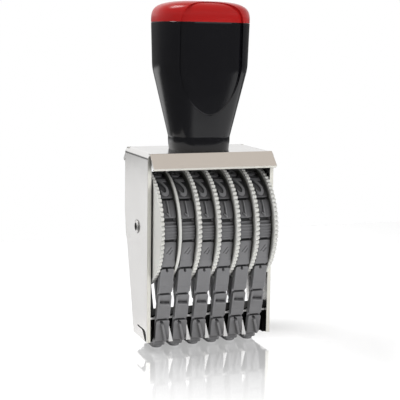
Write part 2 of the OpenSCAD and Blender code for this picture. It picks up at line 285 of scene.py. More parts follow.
ROD_HIGHLIGHT = lined_metal("rod_painted_highlight", (0.94, 0.94, 0.94), (1.0, 1.0, 1.0), metallic=0.05,
                  scale=700, stretch=(0.1, 1, 1), rough=0.18, spread=0.1)
STEEL = lined_metal("turned_steel", (0.55, 0.55, 0.56), (0.72, 0.72, 0.72),
                    scale=2600, stretch=(1, 0.15, 0.15), rough=0.22, spread=0.15)
BRASS = lined_metal("machined_brass", (0.62, 0.44, 0.17), (0.78, 0.60, 0.28),
                    scale=2600, stretch=(0.15, 0.15, 1), rough=0.25, spread=0.1)
RIVET = riveted_end()
print("metals:", ROD_HIGHLIGHT.name, STEEL.name, BRASS.name, RIVET.name)


# %% Ivory
def ivory_moulding():
    """Ivory plastic with painted shade in its notches, its lanes and by the cheek, lifted again
    at its rim.
    """
    finish = Finish("ivory_moulding", Subsurface_Weight=0.02,
                    Subsurface_Radius=(1.2 * MM, 1.0 * MM, 0.7 * MM))
    cloud = finish.noise(60, 3)
    pores = finish.noise(1800, 3)
    # Painted shade: darker in the notches between teeth, in the lanes between bands and under
    # the apron, and next to the cheek; the rim lifts it.
    notch = ramp(finish.openness(1.0 * MM), 0.45, 0.95)
    lane = ramp(finish.openness(30 * MM), 0.0667, 0.7333)
    corner = ramp(finish.openness(4 * MM), 0.55, 0.75)
    spoke = finish.node("Mapping", {}, {"Vector": finish.place(), "Scale": (0, 1, 1),
                                        "Location": (0, 0, -AXLE_Z)})
    radius = finish.node("VectorMath", {"operation": "LENGTH"}, {0: spoke}, 1)
    rim = ramp(radius, 29.5 * MM, 30.167 * MM) * 0.6
    shade = notch * lane * corner * (1 - rim) + rim
    finish.feed("Base Color", finish.blend(shade - cloud * 0.1, (0.10, 0.10, 0.09),
                                           (0.92, 0.92, 0.88)))
    finish.feed("Roughness", 0.34 + pores * 0.12)
    finish.bump(pores, 0.15, 0.05 * MM)
    return finish.material


IVORY = ivory_moulding()
print("moulding:", IVORY.name)


# %% Rubber
def band_rubber():
    """Grey rubber, with painted shade in its grooves and over the drum, and a painted highlight
    on its edges.
    """
    finish = Finish("band_rubber")
    cloud = finish.noise(140, 4)
    grain = finish.noise(2400, 5)
    height = finish.along("Z")
    # Painted shade: the grooves and the gaps between parts are darkened, and the pads more so
    # from the drum upwards, as if in the apron's shadow; near the foot the wider shade is
    # lifted.
    foot = ramp(height, 50 * MM, 25 * MM)
    upper_shade = ramp(height, AXLE_Z - 8 * MM, AXLE_Z - 4.667 * MM)
    apron_shade = ramp(height, AXLE_Z + 8.167 * MM, AXLE_Z + 16.5 * MM)
    painted_hollow_shade = finish.openness(2.5 * MM) * held(finish.openness(30 * MM) * 1.7 - 0.08 + foot)
    painted_hollow_shade = painted_hollow_shade * (1 - upper_shade * 0.22) * (1 - apron_shade * 0.42)
    # Painted highlight: the sharp convex edges of the pads are lightened.
    edge_highlight = ramp(finish.node("NewGeometry", {}, {}, "Pointiness"), 0.51, 0.58)
    shade = painted_hollow_shade * (0.75 + cloud * 0.3 + grain * 0.2) * 0.6 + edge_highlight * 0.4
    finish.feed("Base Color", finish.blend(shade, (0.010, 0.010, 0.011), (0.40, 0.40, 0.415)))
    finish.feed("Roughness", 0.50 + cloud * 0.2)
    finish.bump(grain, 0.35, 0.08 * MM)
    return finish.material


RUBBER = band_rubber()
print("rubber:", RUBBER.name)


# %% Black and red plastics
def satin_plastic(name, dark, light, roughness, gloss):
    """Plastic with faint smears and a fine spark in its skin."""
    finish = Finish(name, Specular_IOR_Level=gloss)
    spark = finish.noise(2200, 4)
    smear = finish.noise(55, 3)
    finish.feed("Base Color", finish.blend(smear, dark, light))
    finish.feed("Roughness", roughness + smear * 0.08)
    finish.bump(spark, 0.2, 0.04 * MM)
    return finish.material


BLACK = satin_plastic("handle_black", (0.004, 0.004, 0.006), (0.006, 0.006, 0.008),
                      roughness=0.12, gloss=0.55)
RED = satin_plastic("cap_red", (0.47, 0.012, 0.012), (0.53, 0.014, 0.014),
                    roughness=0.20, gloss=0.2)
BAR_BLACK = satin_plastic("bar_black", (0.003, 0.003, 0.003), (0.005, 0.005, 0.005),
                          roughness=0.35, gloss=0.04)
print("plastics:", BLACK.name, RED.name, BAR_BLACK.name)

# %% [markdown]
# ## Finishes on the solids that stay
# The frame, the spacer disc, the print bar and the small metal pieces have their
# true shape already, so only their material slots change.

# %% Dress the CAD nodes
DRESS = {
    "frame": NICKEL, "axle": RIVET, "axle_washers": STEEL, "bar_rod": ROD_HIGHLIGHT,
    "handle_screw": STEEL, "handle_washer": STEEL, "handle_insert": BRASS,
    "spacer_disc": IVORY, "print_bar": BAR_BLACK,
}
for node, material in DRESS.items():
    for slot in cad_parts[node].material_slots:
        slot.material = material
print("dressed", len(DRESS), "CAD nodes")

# %% [markdown]
# ## The path of a band
# A band is an endless belt: flat under the print bar, round its front corner, up
# the front run, over the drum and down behind. Its inner face turns with LOOP_R
# round the drum and with CORNER_R round the bar. The carrier is CARRIER_T thick,
# the pads rise to PAD_T, and the printing characters stand out by RELIEF more.
# One function gives the point at a distance `s` along the band and `off` out from
# its inner face. The pads and the characters are then laid along it like tiles.

# %% Shape of the path
LOOP_R = 24.9 * MM
CORNER_R = 1.6 * MM
CARRIER_T = 1.3 * MM
PAD_T = 3.0 * MM
RELIEF = 1.4 * MM
FLAT_LEN = 14.8 * MM
FLAT_MID = -3.2 * MM
FLAT_Z = RELIEF + PAD_T

DRUM = Vector((0, AXLE_Z))
TOE = Vector((FLAT_MID - FLAT_LEN / 2, FLAT_Z + CORNER_R))
HEEL = Vector((FLAT_MID + FLAT_LEN / 2, FLAT_Z + CORNER_R))
MID_OFF = CARRIER_T / 2
QUARTER = math.pi / 2


def ray(angle):
    """A direction in the plane of the bands, as (y, z)."""
    return Vector((math.cos(angle), math.sin(angle)))


def belt_angle(corner, side):
    """Angle of the outward normal on the straight run from corner to drum."""
    reach = DRUM - corner
    return math.atan2(reach.y, reach.x) + side * math.acos((CORNER_R - LOOP_R) / reach.length)


FRONT_A = belt_angle(TOE, 1)
REAR_A = belt_angle(HEEL, -1)
print(f"the front run leans {math.degrees(FRONT_A) - 180:.1f} degrees")


# %% Stretches of the path
def bend(centre, radius, start, end):
    """A stretch that turns about centre, from one angle down to another."""
    def at(t, off):
        return centre + (radius + off) * ray(start - t / (radius + MID_OFF))
    return (start - end) * (radius + MID_OFF), at


def straight(corner, normal, length):
    """A stretch that leaves a corner with a fixed normal."""
    def at(t, off):
        return corner + off * ray(normal) + t * ray(normal - QUARTER)
    return length, at


def run_length(corner):
    """Length of the straight run that touches both the corner and the drum."""
    return math.sqrt((DRUM - corner).length ** 2 - (LOOP_R - CORNER_R) ** 2)


STRETCHES = [
    straight(HEEL + CORNER_R * ray(3 * QUARTER), 3 * QUARTER, FLAT_LEN),
    bend(TOE, CORNER_R, 3 * QUARTER, FRONT_A),
    straight(TOE + CORNER_R * ray(FRONT_A), FRONT_A, run_length(TOE)),
    bend(DRUM, LOOP_R, FRONT_A, REAR_A),
    straight(DRUM + LOOP_R * ray(REAR_A), REAR_A, run_length(HEEL)),
    bend(HEEL, CORNER_R, REAR_A, -QUARTER),
]
LOOP = sum(length for length, at in STRETCHES)


def on_band(s, off):
    """Point (y, z) at s along a band, off out from its inner face."""
    s %= LOOP
    for length, at in STRETCHES:
        if s <= length:
            return at(s, off)
        s -= length
    return at(length, off)


print(f"a band's loop is {LOOP / MM:.1f} mm long")

# %% [markdown]
# ## From points to a piece
# Most meshes here are a stack of rings with the same number of points, so two
# helpers are enough: one joins the rings with quads, the other makes the object
# and sets it on the body that carries it.


# %% Helpers for meshes
def new_piece(name, verts, faces, material, body=ROOT, sharp=35):
    """A mesh object that rides on a body, smooth but for edges over `sharp` degrees."""
    mesh = bpy.data.meshes.new(name)
    mesh.from_pydata(verts, [], faces)
    mesh.materials.append(material)
    mesh.shade_smooth()
    mesh.set_sharp_from_angle(angle=math.radians(sharp))
    piece = bpy.data.objects.new(name, mesh)
    bpy.context.scene.collection.objects.link(piece)
    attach(piece, body)
    return piece


def ring_faces(rings, points, closed):
    """Quads between neighbouring rings that have the same number of points."""
    faces = []
    last = rings if closed else rings - 1
    for j in range(last):
        for k in range(points):
            a, b = j * points, (j + 1) % rings * points
            n = (k + 1) % points
            faces.append((a + k, b + k, b + n, a + n))
    return faces


print("mesh helpers ready")

# %% [markdown]
# ## Thumb wheels
# A wheel is a serrated flange and a plain drum in one moulding. It is made as a
# closed tube of rings: out over the flange's face, across its teeth, back down to
# the drum, along it and home through the bore. The teeth are round-topped, with
# sharp notches between them. A notch has its full depth at the right edge of the
# flange and NEAR_SHARE of it at the left edge. Wheel 1 is turned about: its flange
# is on the left of its band, with the outer face SET_BACK away from the cheek.

# %% Profile of a wheel
TEETH = 78
TOOTH_POINTS = 6
TOOTH_DEPTH = 1.4 * MM
NEAR_SHARE = 0.25
PLAIN_RING = 0.6 * MM
EASE = 0.3 * MM
SET_BACK = 0.3 * MM
FLANGE_T = 2.4 * MM
RIM_R = extent("wheel_1", 1) / 2
DRUM_R = 24.5 * MM
BORE_R = 2.55 * MM
WHEEL_W = extent("wheel_1", 0)


def wheel_profile(outer, inner):
    """Rings of (place along the axle, radius, share of a notch), bore to bore."""
    shoulder = RIM_R - TOOTH_DEPTH - PLAIN_RING
    return [(0, BORE_R, 0), (0, shoulder, 0), (0, RIM_R - EASE, outer), (EASE, RIM_R, outer),
            (FLANGE_T - EASE, RIM_R, inner), (FLANGE_T, RIM_R - EASE, inner),
            (FLANGE_T, shoulder, 0), (FLANGE_T, DRUM_R, 0), (WHEEL_W - EASE, DRUM_R, 0),
            (WHEEL_W, DRUM_R - EASE, 0), (WHEEL_W, BORE_R, 0)]


print(len(wheel_profile(1, NEAR_SHARE)), "rings in a wheel")


# %% The six thumb wheels
def make_wheel(column):
    """One wheel, measured from its flange's outer face towards its drum."""
    low, high = span(f"wheel_{column}", 0)
    face, inward = (low, 1) if column == 1 else (high, -1)
    profile = wheel_profile(1, NEAR_SHARE)
    if column == 1:
        profile = [(along + SET_BACK * max(0, 1 - along / FLANGE_T), radius, share)
                   for along, radius, share in wheel_profile(NEAR_SHARE, 1)]
    count = TEETH * TOOTH_POINTS
    verts = []
    for along, radius, share in profile:
        for k in range(count):
            lift = abs(math.sin(math.pi * k / TOOTH_POINTS))
            reach = radius - share * TOOTH_DEPTH * (1 - lift)
            spoke = reach * ray(2 * math.pi * k / count)
            verts.append((face + inward * along, spoke.x, AXLE_Z + spoke.y))
    faces = ring_faces(len(profile), count, closed=True)
    if column == 1:
        faces = [quad[::-1] for quad in faces]
    piece = new_piece(f"ivory_wheel_{column}", verts, faces, IVORY,
                      body=f"thumb_wheel_{column}", sharp=30)
    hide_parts(f"wheel_{column}")
    return piece


wheels = [make_wheel(column) for column in COLUMNS]
print("thumb wheels:", len(wheels), "with", TEETH, "teeth each")

# %% [markdown]
# ## Pads
# A band carries sixteen pads. The one under the bar fills the flat. Then come the
# signs on the front run, the plain splice where the strip was joined, the narrow
# 1, and the other figures over the drum and down behind. In SIGNS, "~" stands for
# an oblique sign and the empty text for the splice. A real stamp's bands never line
# up to the last tenth, so SHIFT sets each a little along its loop, in millimetres.

# %% Where the pads lie
SIGNS = ["0", "/", "-", ".", "~", "", "1", "2", "3", "4", "5", "6", "7", "8", "9", ":"]
PADS = len(SIGNS)
SPLICE = SIGNS.index("")
FIRST_LEN = 11.5 * MM
FRONT_LEN = 14.8 * MM
SHORT_LEN = 10.0 * MM
GROOVE = 1.1 * MM
SHIFT = (1.1, 0.6, 0.0, -0.5, -0.4, -0.5)
TOE_TURN = STRETCHES[1][0]
HEEL_TURN = STRETCHES[5][0]
RUN_START = FLAT_LEN + TOE_TURN
RUN_END = LOOP - HEEL_TURN
LEFT_OVER = RUN_END - RUN_START - FIRST_LEN - (SPLICE - 2) * FRONT_LEN - 2 * SHORT_LEN
BACK_LEN = LEFT_OVER / (PADS - SPLICE - 2)


def pad_length(pad, shift):
    """Length of a pad with its grooves. The shift is taken up by the last one."""
    if pad == 1:
        return FIRST_LEN + shift
    if pad < SPLICE:
        return FRONT_LEN
    if pad <= SPLICE + 1:
        return SHORT_LEN
    return BACK_LEN - (shift if pad == PADS - 1 else 0)


def pad_spans(column):
    """Start and end of each pad, the flat one first and then up the front."""
    spans = [(0, FLAT_LEN)]
    start = RUN_START
    for pad in range(1, PADS):
        end = start + pad_length(pad, SHIFT[column - 1] * MM)
        ease_in = 0 if pad == 1 else GROOVE / 2
        ease_out = 0 if pad == PADS - 1 else GROOVE / 2
        spans.append((start + ease_in, end - ease_out))
        start = end
    return spans


SPANS = {column: pad_spans(column) for column in COLUMNS}
print(f"pads behind the splice are {BACK_LEN / MM:.2f} mm long")

# %% [markdown]
# ## The band as one mesh
# A band is a ring of cross sections. Each section is a loop of points from edge
# to edge, lower at a groove than on a pad, so a single quad mesh holds the strip,
# its pads and their soft edges. The signs low on the front are part of the face:
# a formula gives how far each point stands out or lies back. These formulas count
# in millimetres: `u` across the pad from its middle, `v` along it from its start,
# and `top` is the pad's length.

# %% Steps, strokes and grooves
CREASE_DEPTH = -0.13
CREASE_HALF = 0.3


def smooth(t):
    """A step from 0 to 1 that starts and ends gently."""
    t = min(max(t, 0), 1)
    return t * t * (3 - 2 * t)


def bar(u, v, start, end, half, soft=0.35):
    """1 on a straight bar between two points (mm), and 0 beside it."""
    run = Vector(end) - Vector(start)
    here = Vector((u, v)) - Vector(start)
    share = min(max(here.dot(run) / run.length_squared, 0), 1)
    return smooth((half + soft / 2 - (here - share * run).length) / soft)


def crease(v, place):
    """A fine groove across the pad."""
    return CREASE_DEPTH * math.exp(-((v - place) / CREASE_HALF) ** 2)


print("a stroke is at full height on its line:", bar(0, 1, (0, 0), (0, 2), 0.5))


# %% Relief of each sign
def slash_face(u, v, top):
    """A broad slash, with a notch beyond its upper end."""
    notch = bar(u, v, (-1.3, top - 0.6), (-0.4, top - 1.2), 0.5, 0.4)
    return 1.4 * bar(u, v, (-0.4, top - 2.3), (2.0, 0.6), 0.7, 0.4) - 1.4 * notch


def dash_face(u, v, top):
    """A dash: a low lip with a scoop above it."""
    across = smooth((3.0 - abs(u - 0.1)) / 0.8)
    above = v - (top - 5.0 - 0.12 * u)
    scoop = smooth(above / 0.3) * math.exp(-max(above, 0) / 1.5)
    lip = 0.5 * smooth(-above / 0.25) * smooth(1 + above / 4.5)
    return across * (lip - 1.9 * scoop) + crease(v, top - 9.6)


def point_face(u, v, top):
    """A point, with a notch above it."""
    notch = bar(u, v, (-0.4, top - 0.3), (-0.3, top - 1.1), 0.55, 0.5)
    dot = bar(u, v, (0.2, top - 2.1), (0.5, top - 2.1), 0.2)
    return 0.4 * dot - 1.3 * notch + crease(v, top - 9.8)


def italic_face(u, v, top):
    """An oblique sign, cut into the pad."""
    strokes = [((0.9, top - 2.8), (-1.5, top - 6.2)), ((1.6, top - 4.4), (0.3, top - 6.6)),
               ((0.3, top - 6.6), (-0.2, top - 6.3))]
    cut = max(bar(u, v, start, end, 0.12, 0.3) for start, end in strokes)
    return crease(v, top - 9.8) - 0.55 * cut


def one_face(u, v, top):
    """A narrow 1, upside down."""
    stem = bar(u, v, (-0.5, top - 0.9), (-0.1, top - 7.9), 0.5)
    flag = bar(u, v, (-0.1, top - 7.9), (-1.5, top - 6.6), 0.3)
    return 0.9 * max(stem, flag)


def splice_face(u, v, top):
    """Faint ripples, and a step down at the upper end."""
    ripple = 0.12 * math.sin(v * 4.1) + 0.07 * math.sin(v * 7.3 + 1)
    return ripple - 0.2 - 0.7 * smooth((v - top + 2.3) / 0.4)


FACES = {"/": slash_face, "-": dash_face, ".": point_face, "~": italic_face, "": splice_face,
         "1": one_face}
print("faces with their own relief:", len(FACES))

# %% Places across and along a pad
EDGE = 0.4 * MM
CORNER = 1.2 * MM
SKIRT = 0.1 * MM
NEAR_TOP = 0.2 * MM
SIDE_STEPS = (0, 0.05, 0.16, 0.4)
SIDE = SIDE_STEPS[-1] * MM
FLAT_STEPS = 20
ACROSS = [mm * MM for mm in SIDE_STEPS]
ACROSS += [SIDE + (BAND_W - 2 * SIDE) * k / FLAT_STEPS for k in range(1, FLAT_STEPS)]
ACROSS += [BAND_W - mm * MM for mm in reversed(SIDE_STEPS)]
RISE = [(0, CARRIER_T), (0.03, PAD_T - 0.5 * MM), (0.12, PAD_T - 0.18 * MM),
        (0.34, PAD_T - 0.04 * MM), (0.6, PAD_T)]
RISE_LENGTH = 0.9 * MM
SIGN_STEP = 0.3 * MM
PLAIN_STEP = 1.3 * MM
print(len(ACROSS), "points across a pad")


# %% Cross sections of a band
def rounded(distance, radius):
    """How far a rounded edge lies back at a distance from the edge."""
    short = max(radius - distance, 0)
    return radius - math.sqrt(radius * radius - short * short)


def section_points(height, pad, t, length):
    """Points (x, off) round the band's section at t along a pad."""
    inset = rounded(min(t, length - t), CORNER) if height > CARRIER_T else CORNER
    relief = FACES.get(SIGNS[pad])
    top = []
    for x in ACROSS:
        off = height - rounded(min(x, BAND_W - x), min(EDGE, height - CARRIER_T + SKIRT))
        if relief and height > PAD_T - NEAR_TOP:
            off += MM * relief((x - BAND_W / 2) / MM, t / MM, length / MM)
        top.append((inset + x * (1 - 2 * inset / BAND_W), min(off, PAD_T + RELIEF)))
    left = [(0, 0), (0, CARRIER_T - SKIRT), (inset, min(CARRIER_T, top[0][1]))]
    return left + top + [(BAND_W - x, off) for x, off in reversed(left)]


def pad_stations(pad, start, end):
    """Distance along and height at each section of one pad."""
    length = end - start
    level = length - 2 * RISE_LENGTH
    count = math.ceil(level / (SIGN_STEP if SIGNS[pad] in FACES else PLAIN_STEP))
    stations = [(mm * MM, height) for mm, height in RISE]
    stations += [(RISE_LENGTH + level * j / count, PAD_T) for j in range(count + 1)]
    stations += [(length - mm * MM, height) for mm, height in reversed(RISE)]
    return [(start + t, height, t, length) for t, height in stations]


print(len(pad_stations(PADS - 1, *SPANS[1][-1])), "sections in a plain pad")


# %% Make the six bands
def make_band(column):
    """All sections of a band's pads, joined into one closed ring."""
    left = span(f"band_{column}", 0)[0]
    verts = []
    rings = 0
    for pad, (start, end) in enumerate(SPANS[column]):
        for s, height, t, length in pad_stations(pad, start, end):
            rings += 1
            for x, off in section_points(height, pad, t, length):
                y, z = on_band(s, off)
                verts.append((left + x, y, z))
    points = len(verts) // rings
    faces = [face[::-1] for face in ring_faces(rings, points, closed=True)]
    piece = new_piece(f"rubber_band_{column}", verts, faces, RUBBER, sharp=50)
    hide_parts(f"band_{column}")
    return piece


bands = [make_band(column) for column in COLUMNS]
print("bands:", len(bands), "with", len(bands[0].data.vertices), "points each")

# %% [markdown]
# ## Characters
# The figures stand up from their pads. Each is cut in reverse and upside down when
# seen from the front, so that it prints the right way up. A figure starts as flat
# type with thickness, is sliced across so that it can bend, and is then laid on
# the band's path.

# %% Raised type
CHAR_W = 5.6 * MM
CHAR_H = 11.6 * MM
SLICES = 12
LOW_RELIEF = 0.9 * MM
HALF_THICK = 0.5
BOLDER = 0.012
FIGURE_TALL = 0.75
WELD = 1e-4


def type_mesh(sign):
    """A flat character, HALF_THICK to both sides of its plane."""
    curve = bpy.data.curves.new("type", "FONT")
    curve.body = sign
    curve.extrude = HALF_THICK
    curve.offset = BOLDER
    maker = bpy.data.objects.new("type", curve)
    bpy.context.scene.collection.objects.link(maker)
    bpy.context.view_layer.update()
    ready = maker.evaluated_get(bpy.context.evaluated_depsgraph_get())
    mesh = bpy.data.meshes.new_from_object(ready)
    bpy.data.objects.remove(maker)
    bpy.data.curves.remove(curve)
    return mesh


def sliced(mesh):
    """Cuts a mesh across its height, so that it can follow a curve."""
    work = bmesh.new()
    work.from_mesh(mesh)
    bmesh.ops.triangulate(work, faces=work.faces[:])
    bmesh.ops.remove_doubles(work, verts=work.verts, dist=WELD)
    for cut in range(1, SLICES):
        everything = work.verts[:] + work.edges[:] + work.faces[:]
        level = (0, cut / SLICES * FIGURE_TALL, 0)
        bmesh.ops.bisect_plane(work, geom=everything, plane_co=level, plane_no=(0, 1, 0),
                               dist=WELD / 10)
    work.to_mesh(mesh)
    work.free()
    return mesh


TYPE = {sign: sliced(type_mesh(sign)) for sign in SIGNS[1:] if sign not in FACES}
print("cut", len(TYPE), "characters")

# %% Lay the characters on the bands
NARROW = {":": 0.3}
TALL = {":": 0.6}
FREE_ENDS = 1.6 * MM
DRAFT = 0.12
SINK = 0.25 * MM


def laid_type(sign, column, start, end):
    """Points of a character, bent onto its pad and a little narrower at the top."""
    mesh = TYPE[sign]
    xs = [v.co.x for v in mesh.vertices]
    ys = [v.co.y for v in mesh.vertices]
    wide = CHAR_W * NARROW.get(sign, 1) / (max(xs) - min(xs))
    room = min(CHAR_H, end - start - FREE_ENDS)
    tall = room * TALL.get(sign, 1) / (max(ys) - min(ys))
    mid_x = (max(xs) + min(xs)) / 2
    mid_y = (min(ys) + max(ys)) / 2
    centre = middle(f"band_{column}", 0)
    verts = []
    for vert in mesh.vertices:
        depth = (vert.co.z + HALF_THICK) * LOW_RELIEF
        shrink = 1 - DRAFT * (depth / LOW_RELIEF)
        x = centre + (vert.co.x - mid_x) * wide * shrink
        s = (start + end) / 2 - (vert.co.y - mid_y) * tall
        y, z = on_band(s, PAD_T - SINK + depth)
        verts.append((x, y, z))
    return verts


def make_type(column):
    """All raised figures of a band. The mirrored faces are turned to look out."""
    verts, faces = [], []
    for sign, (start, end) in zip(SIGNS, SPANS[column]):
        if sign not in TYPE:
            continue
        first = len(verts)
        verts += laid_type(sign, column, start, end)
        faces += [tuple(first + v for v in reversed(p.vertices)) for p in TYPE[sign].polygons]
    piece = new_piece(f"band_type_{column}", verts, faces, RUBBER, sharp=50)
    return piece


types = [make_type(column) for column in COLUMNS]
print("characters on", len(types), "bands")

# %% [markdown]
# ## The printing characters
# The lowest pad of each band carries the character that prints. It is the only
# thing that touches the paper, a tall nought with a flat face.

# %% The noughts at the foot
RING_W = 5.6 * MM
RING_H = 13.2 * MM
STROKE = 1.5 * MM
BEVEL = 0.25 * MM
ROUND = 16


def stadium(width, height):
    """Outline of a tall nought, as (x, y) points."""
    points = []
    for end, start in ((1, 0), (-1, math.pi)):
        for k in range(ROUND + 1):
            turn = start + math.pi * k / ROUND
            points.append((width / 2 * math.cos(turn),
                           end * (height - width) / 2 + width / 2 * math.sin(turn)))
    return points


def make_nought(column):
    """A closed ring from loops of (inset, height). Its top is sunk in the pad."""
    centre = middle(f"band_{column}", 0)
    loops = [(0, RELIEF + SINK), (0, BEVEL), (BEVEL, 0), (STROKE - BEVEL, 0),
             (STROKE, BEVEL), (STROKE, RELIEF + SINK)]
    verts = []
    for inset, z in loops:
        for x, y in stadium(RING_W - 2 * inset, RING_H - 2 * inset):
            verts.append((centre + x, FLAT_MID + y, z))
    points = len(verts) // len(loops)
    faces = ring_faces(len(loops), points, closed=True)
    piece = new_piece(f"printing_nought_{column}", verts, faces, RUBBER)
    return piece


noughts = [make_nought(column) for column in COLUMNS]
print("printing characters:", len(noughts))

# %% [markdown]
# ## Dividers
# Between the feet of the bands stand five bright wedges, fixed to the print bar,
# that keep each band in its lane. They widen towards the paper.

# %% Dividers between the bands
DIVIDER_Z = (4.7 * MM, 13.0 * MM)
DIVIDER_Y = (-16.2 * MM, -9.5 * MM)
DIVIDER_W = (2.3 * MM, 0.3 * MM)
BESIDE_BAND = 0.1 * MM


def make_divider(column):
    """A wedge in the lane to the right of a band."""
    left = span(f"band_{column}", 0)[1] + BESIDE_BAND
    verts = []
    for z, width in zip(DIVIDER_Z, DIVIDER_W):
        for y in DIVIDER_Y:
            verts += [(left, y, z), (left + width, y, z)]
    faces = [(0, 2, 3, 1), (4, 5, 7, 6), (0, 1, 5, 4), (2, 6, 7, 3), (0, 4, 6, 2), (1, 3, 7, 5)]
    # The wedges take the rod's near-white painted highlight.
    piece = new_piece(f"bar_divider_{column}", verts, faces, ROD_HIGHLIGHT)
    return piece


dividers = [make_divider(column) for column in COLUMNS[:-1]]
print("dividers:", len(dividers))

# %% [markdown]
# ## The handle
# The handle is a loft of soft ovals. Its sides run straight from the neck to a
# firm knee, and widen only a little from there to the head. A shallow flat panel
# in the shape of a long U is set into its front, and runs on over the cap. On a
# fine mesh the panel's edge can be pressed in by moving points, which follows the
# curved skin better than a cut.

# %% Sections of the handle
HEAD_A = extent("handle_body", 0) / 2
HEAD_B = extent("handle_body", 1) / 2
NECK_A = 16.1 * MM
NECK_B = 13.9 * MM
COLLAR_H = 5 * MM
TAPER_FOOT = 7.0 * MM
KNEE_H = 43 * MM
KNEE_SHARE = 0.925
KNEE_ROUND = 0.06
POWER = 2.6
CAP_POWER = 3.6


def swell(height):
    """Share of the way from neck to head: a straight taper and a firm knee."""
    taper = KNEE_SHARE * (height - TAPER_FOOT) / (KNEE_H - TAPER_FOOT)
    head = KNEE_SHARE + (1 - KNEE_SHARE) * (height - KNEE_H) / (CAP_Z - PLATE_Z - KNEE_H)
    near = max(1 - abs(taper - head) / KNEE_ROUND, 0)
    return max(min(taper, head, 1) - near * near * KNEE_ROUND / 4, 0)


def signed_power(value, power):
    """A power that keeps the sign of its base, for an oval with firm corners."""
    return math.copysign(abs(value) ** power, value)


def oval(angle, height, shrink):
    """Point (x, y) on the handle's skin."""
    a = NECK_A + (HEAD_A - NECK_A) * swell(height)
    b = NECK_B + (HEAD_B - NECK_B) * swell(height)
    return Vector((a * shrink * signed_power(math.cos(angle), 2 / POWER),
                   b * shrink * signed_power(math.sin(angle), 2 / POWER)))


print(f"handle head {2 * HEAD_A / MM:.1f} by {2 * HEAD_B / MM:.1f} mm")

# %% The pressed panel
PANEL_HALF = 17.3 * MM
PANEL_FOOT = 19 * MM
PANEL_KNEE = 45 * MM
PANEL_TOP = HANDLE_TOP - PLATE_Z - 0.7 * MM
PANEL_SHOULDER = PANEL_TOP - 14.8 * MM
FOOT_POWER = 1.8
SHOULDER_POWER = 3.0
PANEL_DEPTH = 1.4 * MM
FOOT_DEPTH_SHARE = 0.1
PANEL_EDGE = 0.5 * MM


def panel_half(height):
    """Half width of the panel at a height above the top plate."""
    if height <= PANEL_FOOT or height >= PANEL_TOP:
        return 0
    if height < PANEL_KNEE:
        t, power = (PANEL_KNEE - height) / (PANEL_KNEE - PANEL_FOOT), FOOT_POWER
    elif height > PANEL_SHOULDER:
        t, power = (height - PANEL_SHOULDER) / (PANEL_TOP - PANEL_SHOULDER), SHOULDER_POWER
    else:
        return PANEL_HALF
    return PANEL_HALF * (1 - t ** power) ** (1 / power)


def pressed(x, height):
    """How far the panel sets the front back at this point."""
    step = 0.1 * MM
    half = panel_half(height)
    slope = (panel_half(height + step) - panel_half(height - step)) / (2 * step)
    inside = (half - abs(x)) / math.sqrt(1 + slope * slope)
    risen = min(max((height - PANEL_FOOT) / (PANEL_KNEE - PANEL_FOOT), 0), 1)
    share = FOOT_DEPTH_SHARE + (1 - FOOT_DEPTH_SHARE) * risen
    return share * PANEL_DEPTH * smooth(inside / PANEL_EDGE)


print("panel is", round(2 * PANEL_HALF / MM, 1), "mm wide")

# %% Rings of the handle's skin
SIDE_POINTS = 150
WALL_POINTS = 9
WALL_WIDTH = 0.8 * MM
OVER_EDGE = 0.1 * MM
LEAST_EDGE = 2.5 * MM
MOST_EDGE_SHARE = 0.7
PANEL_POINTS = 48
AROUND = SIDE_POINTS + 2 * WALL_POINTS + PANEL_POINTS


def front_xs(height, a):
    """Places across the front, close together where the panel's edge runs."""
    edge = min(max(panel_half(height), LEAST_EDGE), MOST_EDGE_SHARE * a)
    wall = [edge + OVER_EDGE - WALL_WIDTH * k / (WALL_POINTS - 1) for k in range(WALL_POINTS)]
    inner = wall[-1]
    flat = [-inner + 2 * inner * (k + 1) / (PANEL_POINTS + 1) for k in range(PANEL_POINTS)]
    return [-x for x in wall] + flat + wall[::-1]


def skin_ring(height, shrink):
    """One ring of the handle's skin, with the panel pressed in at the front."""
    a = oval(0, height, shrink).x
    xs = front_xs(height, a)
    edge = math.acos((max(xs) / a) ** (POWER / 2))
    sweep = math.pi + 2 * edge
    angles = [-edge + sweep * (k + 1) / (SIDE_POINTS + 1) for k in range(SIDE_POINTS)]
    points = [oval(angle, height, shrink) for angle in angles]
    for x in xs:
        angle = -math.acos(min(abs(x) / a, 1) ** (POWER / 2))
        y = oval(angle, height, shrink).y
        points.append(Vector((x, y + pressed(x, height))))
    return [(point.x, point.y + HANDLE_Y, PLATE_Z + height) for point in points]


print(AROUND, "points in a ring")


# %% From rings to a closed skin
def make_loft(name, rings, material, node):
    """A piece from rings of skin, closed by a flat face at each end."""
    verts = [point for ring in rings for point in ring]
    faces = [face[::-1] for face in ring_faces(len(rings), AROUND, closed=False)]
    last = (len(rings) - 1) * AROUND
    faces += [tuple(range(AROUND))[::-1], tuple(last + k for k in range(AROUND))]
    piece = new_piece(name, verts, faces, material)
    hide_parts(node)
    return piece


print("two parts of the handle share one loft")

# %% [markdown]
# Each level of the handle has a height and a share of the full section. The levels
# stand RING_STEP apart, and FOOT_STEP apart where the panel's foot curves, without
# the one step that both lists share. Both parts draw in to SEAM_SHARE where the cap
# meets the body.

# %% The grip
BODY_H = CAP_Z - PLATE_Z
SEAM = 0.25 * MM
SEAM_SHARE = 0.992
RING_STEP = 0.5 * MM
FOOT_STEP = 0.15 * MM
SHARED_STEP = 10
NECK_LEVELS = [(0, 0.965), (0.3 * MM, 0.975), (COLLAR_H - 0.5 * MM, 0.997), (COLLAR_H, 0.999)]

